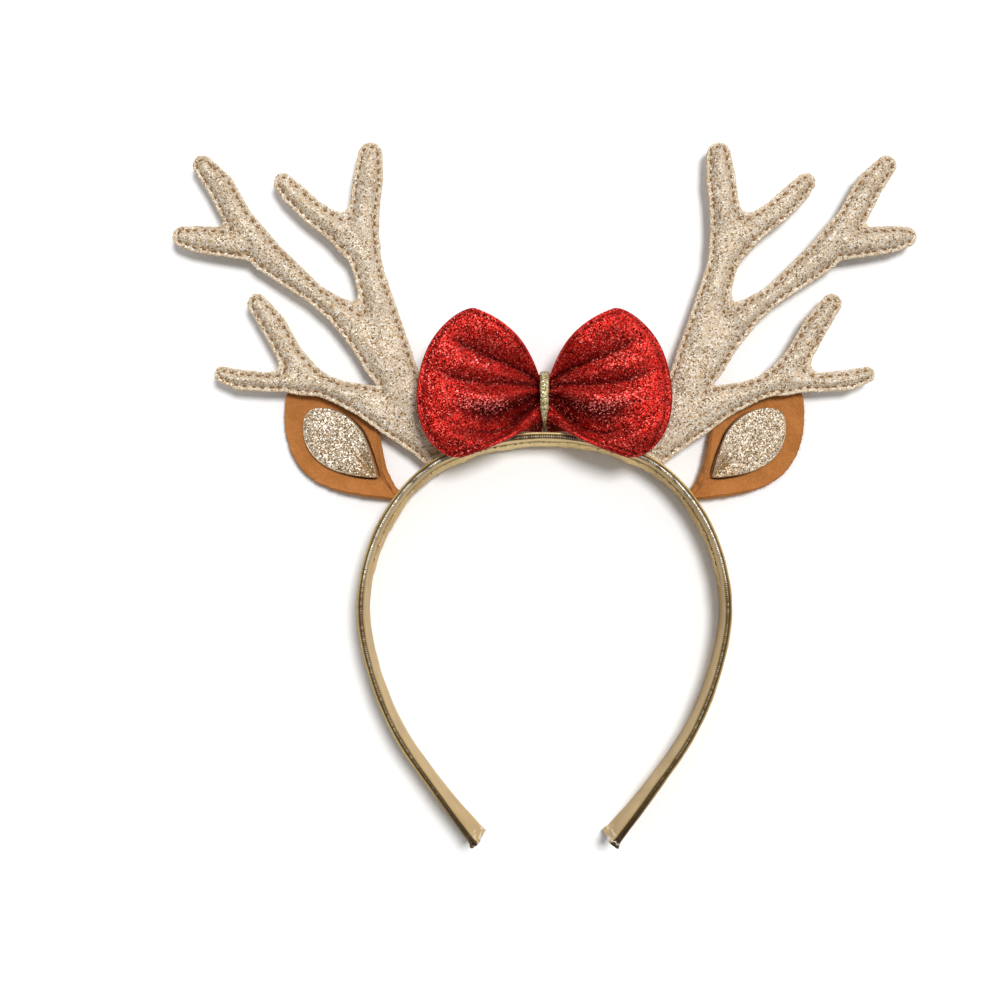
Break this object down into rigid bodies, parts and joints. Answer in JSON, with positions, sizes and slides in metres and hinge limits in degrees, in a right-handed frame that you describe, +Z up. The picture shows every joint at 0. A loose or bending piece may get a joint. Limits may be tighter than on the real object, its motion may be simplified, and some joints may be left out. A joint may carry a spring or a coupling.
{
  "type": "reindeer antler headband",
  "caption": "Gold hoop headband with padded glitter antlers, felt ears lined with glitter, and a gathered red glitter bow, worn on the head as a costume.",
  "frame": {"origin": "bottom middle of the whole headband as it lies on its back", "axes": "+X side to side, +Y up towards the antler tips, +Z up from the surface to the bow's front"},
  "size_m": [0.2484, 0.2338, 0.0225],
  "materials": {
    "gold_cover": "metallic gold cover, satin, finely ribbed on its front edge",
    "gold_lining": "metallic gold strip, satin",
    "pale_glitter": "fine pale gold glitter cloth, sewn with brown thread",
    "brown_felt": "matte felt",
    "coarse_glitter": "coarse gold and silver glitter cloth",
    "red_glitter": "red glitter cloth",
    "binding_glitter": "pale gold glitter strip"
  },
  "bodies": {
    "root": {"band": "gold_cover", "band_lining": "gold_lining", "antler_left": "pale_glitter", "antler_right": "pale_glitter", "ear_left": "brown_felt", "ear_right": "brown_felt", "inner_ear_left": "coarse_glitter", "inner_ear_right": "coarse_glitter", "bow": "red_glitter", "bow_binding": "binding_glitter"}
  },
  "joints": []
}
